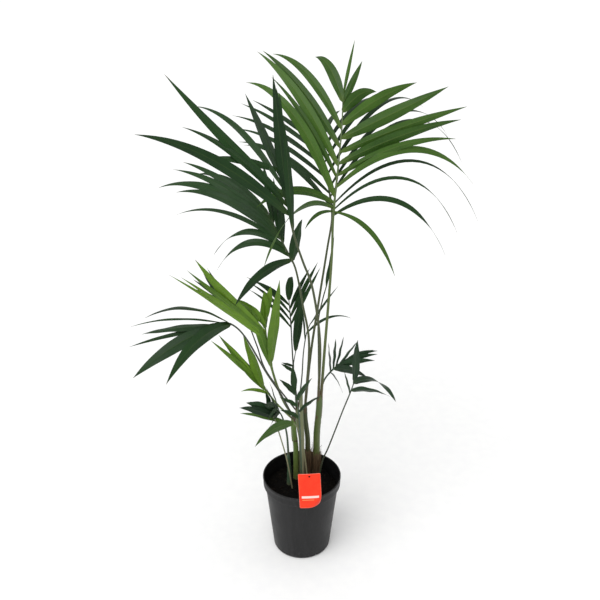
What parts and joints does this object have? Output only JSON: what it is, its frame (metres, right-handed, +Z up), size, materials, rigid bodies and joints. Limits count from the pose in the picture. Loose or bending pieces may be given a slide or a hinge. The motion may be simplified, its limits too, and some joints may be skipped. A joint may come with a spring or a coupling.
{
  "type": "potted palm",
  "caption": "Clump of palm seedlings with arching feather fronds on slim green stems, growing in soil in a round tapered nursery pot with a card label clipped over its rim.",
  "frame": {"origin": "centre of the pot's underside", "axes": "+Z up the plant, -Y out of the side that carries the label, +X to the right of someone facing that side"},
  "size_m": [0.8671, 1.0123, 1.3131],
  "materials": {
    "pot": "matte moulded plastic",
    "soil": "loose, damp and dark",
    "label": "smooth printed card",
    "stem": "smooth and waxy",
    "fibre": "dry and fibrous",
    "leaf": "smooth and lightly glossy"
  },
  "bodies": {
    "root": {"pot": "pot", "soil": "soil", "label_card": "label", "stem_right": "stem", "stem_middle": "stem", "stem_left": "stem", "stem_inner": "stem", "stem_back": "stem", "stem_old": "stem", "stem_small": "stem", "fibre_sheath_right": "fibre", "fibre_sheath_middle": "fibre", "frond_top_front": "leaf", "frond_top_back": "leaf", "frond_left_front": "leaf", "frond_left_back": "leaf", "frond_low_left": "leaf", "frond_bright": "leaf", "frond_slim": "leaf", "frond_low_green": "leaf", "frond_centre": "leaf", "frond_upright": "leaf", "frond_thin": "leaf", "spear": "leaf", "frond_right": "leaf", "frond_right_small": "leaf", "frond_inner": "leaf", "frond_small_low": "leaf", "frond_small_left": "leaf", "frond_small_dark": "leaf"}
  },
  "joints": []
}
